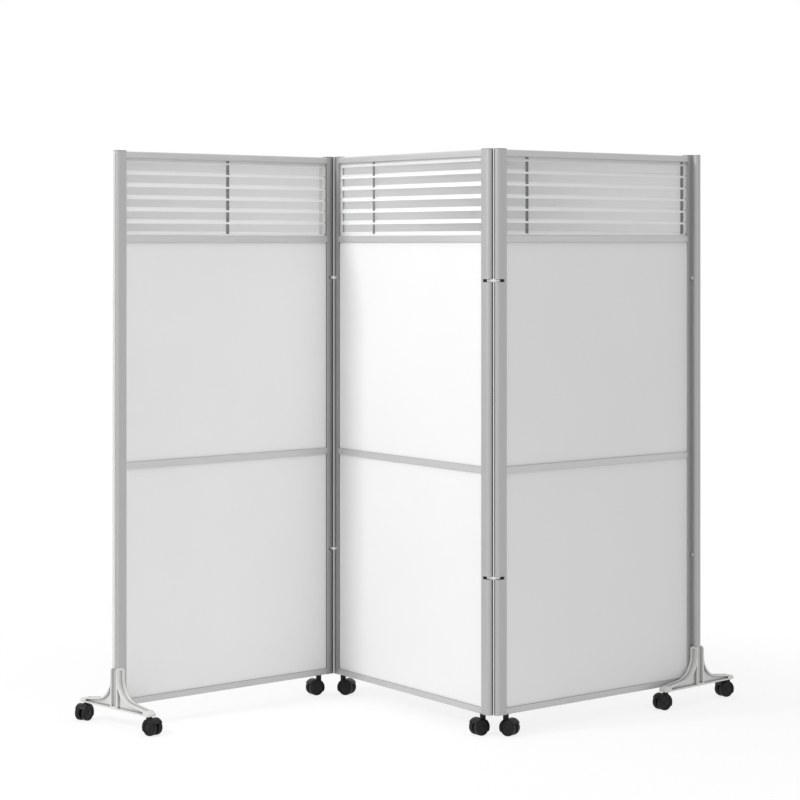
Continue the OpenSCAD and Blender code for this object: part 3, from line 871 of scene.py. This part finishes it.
class PARTITION_OT_pivots(bpy.types.Operator):
    """Add the pivot button at the end of each louvre slat"""

    bl_idname = "partition.pivots"
    bl_label = "Slat pivots"

    def execute(self, context):
        low_z, high_z = FIELDS["window"]
        count = sizes().slat_count
        step = (high_z - low_z - 2 * SLAT_HALF) / (count - 1)
        x, y = PANEL_W - POST_W - CARRIER_W / 2, -INFILL_T / 2 + PIVOT_DEPTH
        nylon = moulded("grey nylon pivot", colours().pivot, rough=0.5)
        for side in SIDES:
            buttons = []
            for n in range(count):
                place = (x, y, low_z + SLAT_HALF + n * step)
                button = drum("button", PIVOT_R, PIVOT_H, place, across=True, steps=24)
                round_edges(button, width=0.15 * MM)
                buttons.append(button)
            piece = close(joined(f"{side}_slat_pivots", buttons))
            set_down(piece, PANELS[side], f"{side}_panel", nylon, "cap")
        return {"FINISHED"}


def round_cheeks(foot, first, second, radius):
    """Rounds the top corners of a foot's cheeks; the stems of its two castors give its middle."""
    stems = [flat(joint_place(f"castor_{number}_swivel_turn")) for number in (first, second)]
    centre = (stems[0] + stems[1]) / 2
    arms = (stems[1] - stems[0]).normalized()
    across = Vector((arms.y, -arms.x, 0))
    top = max(v.co.z for v in foot.data.vertices) - NEAR
    side = max(abs((v.co - centre).dot(across)) for v in foot.data.vertices) - NEAR
    edit(foot)
    pick(foot, "EDGE", lambda e: middle_of(e).z > top and abs((middle_of(e) - centre).dot(across)) > side)
    bpy.ops.mesh.bevel(offset=radius, segments=6)
    start_clean()


class PARTITION_OT_softened(bpy.types.Operator):
    """Round the edges of the feet, straps, caps and closing strip as castings and mouldings have them"""

    bl_idname = "partition.softened"
    bl_label = "Feet, straps and caps"

    def execute(self, context):
        chosen = colours()
        cast = cast_metal("satin cast aluminium", chosen.foot)
        bright = cast_metal("bright strap aluminium", chosen.strap, rough=0.3)
        moulding = moulded("grey cap moulding", chosen.cap, rough=0.5)
        strip = enamel("white closing strip", chosen.strip)
        # Each node with its body, its finish, its slot and the radius of its edges in millimetres
        jobs = (
            ("left_foot", "left_panel", cast, "foot", 0.9),
            ("right_foot", "end_stand", cast, "foot", 0.9),
            ("left_link_straps", "left_link", bright, "strap", 0.8),
            ("right_link_straps", "right_link", bright, "strap", 0.8),
            ("end_link_straps", "end_stand", bright, "strap", 0.8),
            ("left_end_strip", "left_panel", strip, "foot", 0.8),
            ("left_post_caps", "left_panel", moulding, "cap", 0.7),
            ("middle_post_caps", "middle_panel", moulding, "cap", 0.7),
            ("right_post_caps", "right_panel", moulding, "cap", 0.7),
        )
        for node, body, finish, slot, radius in jobs:
            piece = cad_copy(node, f"{node}_finished")
            if node in FEET:
                round_cheeks(piece, *FEET[node], sizes().cheek_corner)
            round_edges(piece, radius * MM, angle=35)
            close(piece, smooth=30)
            set_down(piece, Matrix.Identity(4), body, finish, slot, node)
        return {"FINISHED"}


class PARTITION_OT_finishes(bpy.types.Operator):
    """Give every part of the frame that still shows its own finish"""

    bl_idname = "partition.finishes"
    bl_label = "Frame finishes"

    def execute(self, context):
        chosen = colours()
        post = anodised("anodised outer post", chosen.post)
        fold_post = anodised("anodised fold post", chosen.post, FOLD_SHADE_REACH)
        rails, cross_rails = {}, {}
        for side in SIDES:
            turn = PANELS[side].to_euler().z
            rails[side] = anodised(f"anodised {side} rail", chosen.rail, RAIL_SHADE_REACH, turn)
            cross_rails[side] = anodised(f"anodised {side} cross rail", chosen.cross_rail, CROSS_SHADE_REACH, turn)
        laminated = laminate("matt white laminate", chosen.board)
        slat = enamel("white slat enamel", chosen.slat)
        # The left window's second tape is pale, and the others are dark.
        turn = PANELS["left"].to_euler().z
        between = PANELS["left"] @ Vector((SECOND_TAPE * PANEL_W, 0, 0))
        pale_from = (Matrix.Rotation(-turn, 4, "Z") @ between).x
        tape = woven("woven ladder tape", chosen.tape)
        left_tape = woven("woven ladder tape, second pale", chosen.tape, chosen.pale_tape, turn, pale_from)
        pin = turned_steel("turned steel pin", chosen.pin)
        moulding = moulded("plain castor moulding", chosen.castor)
        for name, node in frame["nodes"].items():
            side = name.split("_")[0]
            if "cross_rails" in name:
                finish = cross_rails[side]
            elif "rail" in name:
                finish = rails[side]
            elif "board" in name:
                finish = laminated
            elif "louvre" in name:
                finish = slat
            elif "tapes" in name:
                finish = left_tape if side == "left" else tape
            elif "pins" in name:
                finish = pin
            elif "castor" in name:
                finish = moulding
            else:
                finish = post if "outer" in name or name == "end_post" else fold_post
            node.data.materials.clear()
            node.data.materials.append(finish)
        return {"FINISHED"}


# Stage

# The camera stood level, this far from the middle panel's centre and up from the floor.
EYE = Vector((6.547, -4.356, 1.506))
LOOK = Vector((-0.8348, 0.5505, 0))
SENSOR = 36
LENS = 110.2
HORIZON_SHIFT = -0.1946
FLOOR_SIZE = 60
FLOOR_COLOUR = "#fafafa"
# Under the screen the floor is seen as this share of plain white, and it turns all white over the fade, which
# is given in metres.
FLOOR_WHITE = 0.78
FADE_FROM, FADE_TO = 1.0, 2.2
# Strength of the even light all round
WORLD_LIGHT = 0.585
# Each lamp's name, its place and target from the middle panel's centre on the floor, its size in metres and
# its power in watts. The key stands in front of the left panel's free end, so that the left panel shades the
# middle board's edge.
LAMPS = (
    ("key", (-0.27, -4.27, 3.56), (0, 0, 0.9), 0.5, 98),
    ("top", (0.6, -0.8, 4.2), (0.1, -0.1, 0), 3.0, 46),
)


def seen_share(tree):
    """1 for what the camera sees straight, mirrored or through glass, and 0 for light on other surfaces."""
    rays = add_node(tree, "ShaderNodeLightPath").outputs
    seen = rays["Is Camera Ray"]
    for kind in ("Is Glossy Ray", "Is Transmission Ray"):
        seen = add_node(
            tree, "ShaderNodeMath", {"Value": seen, "Value_001": rays[kind]}, operation="MAXIMUM"
        ).outputs["Value"]
    return seen


def floor_material(name):
    """Matt painted studio floor: it keeps the shadow close to the object and runs out to white."""
    material, tree, shader = new_material(name)
    fill(tree, shader, {"Base Color": linear(FLOOR_COLOUR), "Roughness": 0.85})
    place = add_node(tree, "ShaderNodeTexCoord").outputs["Object"]
    distance = add_node(tree, "ShaderNodeVectorMath", {"Vector": place}, operation="LENGTH").outputs["Value"]
    fade = add_node(
        tree,
        "ShaderNodeMapRange",
        {"Value": distance, "From Min": FADE_FROM, "From Max": FADE_TO, "To Min": FLOOR_WHITE},
        interpolation_type="SMOOTHSTEP",
    ).outputs["Result"]
    share = add_node(
        tree, "ShaderNodeMath", {"Value": seen_share(tree), "Value_001": fade}, operation="MULTIPLY"
    ).outputs["Value"]
    white = add_node(tree, "ShaderNodeEmission", {"Color": (1, 1, 1, 1), "Strength": 1.0})
    mixed = add_node(
        tree,
        "ShaderNodeMixShader",
        {"Fac": share, "Shader": shader.outputs["BSDF"], "Shader_001": white.outputs["Emission"]},
    )
    output = next(n for n in tree.nodes if n.type == "OUTPUT_MATERIAL")
    fill(tree, output, {"Surface": mixed.outputs["Shader"]})
    return material


def lamp(name, place, target, size, power):
    """A square soft lamp that faces a point."""
    start_clean()
    bpy.ops.object.light_add(type="AREA", location=place)
    light = bpy.context.object
    light.name = name
    light.data.size = size
    light.data.energy = power
    light.rotation_euler = (Vector(target) - Vector(place)).to_track_quat("-Z", "Y").to_euler()


def white_world(strength):
    """Even white light, seen as plain white by the camera and in reflections."""
    world = bpy.data.worlds.new("studio")
    bpy.context.scene.world = world
    world.use_nodes = True
    tree = world.node_tree
    tree.nodes.clear()
    level = add_node(
        tree, "ShaderNodeMapRange", {"Value": seen_share(tree), "To Min": strength, "To Max": 1.0}
    )
    background = add_node(
        tree, "ShaderNodeBackground", {"Color": (1, 1, 1, 1), "Strength": level.outputs["Result"]}
    )
    add_node(tree, "ShaderNodeOutputWorld", {"Surface": background.outputs["Background"]})


class PARTITION_OT_stage(bpy.types.Operator):
    """Set the pale floor, the soft lamps and the camera"""

    bl_idname = "partition.stage"
    bl_label = "Stage"

    def execute(self, context):
        scene = context.scene
        scene.view_settings.view_transform = "Standard"
        start_clean()
        bpy.ops.mesh.primitive_plane_add(size=FLOOR_SIZE)
        floor = added("floor")
        floor.data.materials.append(floor_material("pale studio floor"))
        white_world(WORLD_LIGHT)

        centre = PANELS["middle"] @ Vector((PANEL_W / 2, 0, 0))
        for name, place, target, size, power in LAMPS:
            lamp(name, centre + Vector(place), centre + Vector(target), size, power)

        start_clean()
        facing = (math.pi / 2, 0, math.atan2(-LOOK.x, LOOK.y))
        bpy.ops.object.camera_add(location=centre + EYE, rotation=facing)
        camera = bpy.context.object
        camera.name = "camera"
        camera.data.sensor_width = SENSOR
        camera.data.lens = LENS
        camera.data.shift_y = HORIZON_SHIFT
        scene.camera = camera
        return {"FINISHED"}


class PARTITION_PT_panel(bpy.types.Panel):
    """Lists the steps that dress the screen"""

    bl_label = "Partition screen"
    bl_space_type = "VIEW_3D"
    bl_region_type = "UI"
    bl_category = "Screen"

    def draw(self, context):
        for group in (context.scene.screen_sizes, context.scene.screen_colours):
            for name in group.__annotations__:
                self.layout.prop(group, name)
        for operator in OPERATORS:
            self.layout.operator(operator.bl_idname)


OPERATORS = (
    PARTITION_OT_finishes,
    PARTITION_OT_beads,
    PARTITION_OT_panes,
    PARTITION_OT_pivots,
    PARTITION_OT_softened,
    PARTITION_OT_castors,
    PARTITION_OT_stage,
)
CLASSES = (ScreenSizes, ScreenColours, *OPERATORS, PARTITION_PT_panel)


def register():
    for cls in CLASSES:
        bpy.utils.register_class(cls)
    bpy.types.Scene.screen_sizes = bpy.props.PointerProperty(type=ScreenSizes)
    bpy.types.Scene.screen_colours = bpy.props.PointerProperty(type=ScreenColours)


def unregister():
    del bpy.types.Scene.screen_colours
    del bpy.types.Scene.screen_sizes
    for cls in reversed(CLASSES):
        bpy.utils.unregister_class(cls)


def main():
    """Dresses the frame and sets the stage."""
    start_clean()
    register()
    bpy.ops.partition.finishes()
    bpy.ops.partition.beads()
    bpy.ops.partition.panes()
    bpy.ops.partition.pivots()
    bpy.ops.partition.softened()
    bpy.ops.partition.castors()
    bpy.ops.partition.stage()
    start_clean()


if __name__ == "__main__":
    main()
